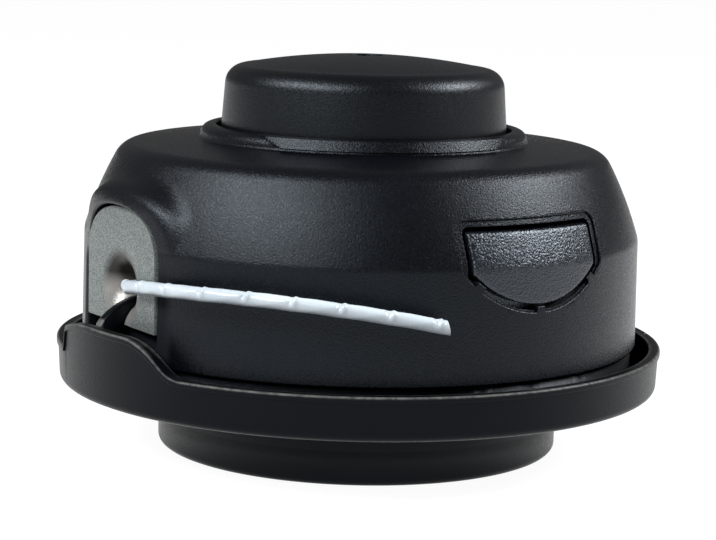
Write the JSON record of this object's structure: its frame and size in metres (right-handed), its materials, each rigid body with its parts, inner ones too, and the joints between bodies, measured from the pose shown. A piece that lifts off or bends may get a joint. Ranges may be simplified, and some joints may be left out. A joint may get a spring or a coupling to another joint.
{
  "type": "bump feed trimmer line head with line spool",
  "caption": "Round black bump feed trimmer head holding a spool of nylon line, with a domed cover, a central bump knob, metal line eyelets and latch buttons.",
  "frame": {"origin": "on the spin axis, in the plane of the ring that the head stands on", "axes": "+Z along the spin axis towards the bump knob, the two line exits on -X and +X"},
  "size_m": [0.11, 0.11, 0.0708],
  "materials": {
    "base_plastic": "fine grained black polyamide",
    "cover_plastic": "fine grained black polyamide",
    "latch_plastic": "grained black polyamide",
    "knob_plastic": "satin black polyamide",
    "spool_plastic": "satin black polyamide",
    "sintered_metal": "bare sintered metal",
    "insert_steel": "zinc plated",
    "spring_steel": "bright spring wire",
    "nylon_line": "milky nylon"
  },
  "bodies": {
    "head": {"housing": "base_plastic", "cover": "cover_plastic", "eyelet_left": "sintered_metal", "eyelet_right": "sintered_metal", "arbor_nut": "insert_steel", "spring": "spring_steel", "line_tail_left": "nylon_line", "line_tail_right": "nylon_line"},
    "seat": {"spring_seat": "insert_steel"},
    "reel": {"spool": "spool_plastic", "bump_knob": "knob_plastic", "line_winding_lower": "nylon_line", "line_winding_upper": "nylon_line"},
    "latch_a": {"latch_front": "latch_plastic"},
    "latch_b": {"latch_rear": "latch_plastic"}
  },
  "joints": [
    {"name": "bump", "type": "slide", "parent": "head", "child": "seat", "axis": [0, 0, -1], "range_m": [0, 0.006], "stiffness_N_per_m": 1500, "springref_m": -0.008, "deforming": ["spring"]},
    {"name": "spin", "type": "hinge", "parent": "seat", "child": "reel", "pos_m": [0, 0, 0.035], "axis": [0, 0, 1], "continuous": true},
    {"name": "latch_front_press", "type": "hinge", "parent": "head", "child": "latch_a", "pos_m": [0.00326, -0.04664, 0.017], "axis": [-0.9976, -0.0698, 0], "range_deg": [0, 9], "stiffness_Nm_per_rad": 0.5, "springref_deg": -5.73},
    {"name": "latch_rear_press", "type": "hinge", "parent": "head", "child": "latch_b", "pos_m": [-0.00326, 0.04664, 0.017], "axis": [0.9976, 0.0698, 0], "range_deg": [0, 9], "stiffness_Nm_per_rad": 0.5, "springref_deg": -5.73}
  ]
}
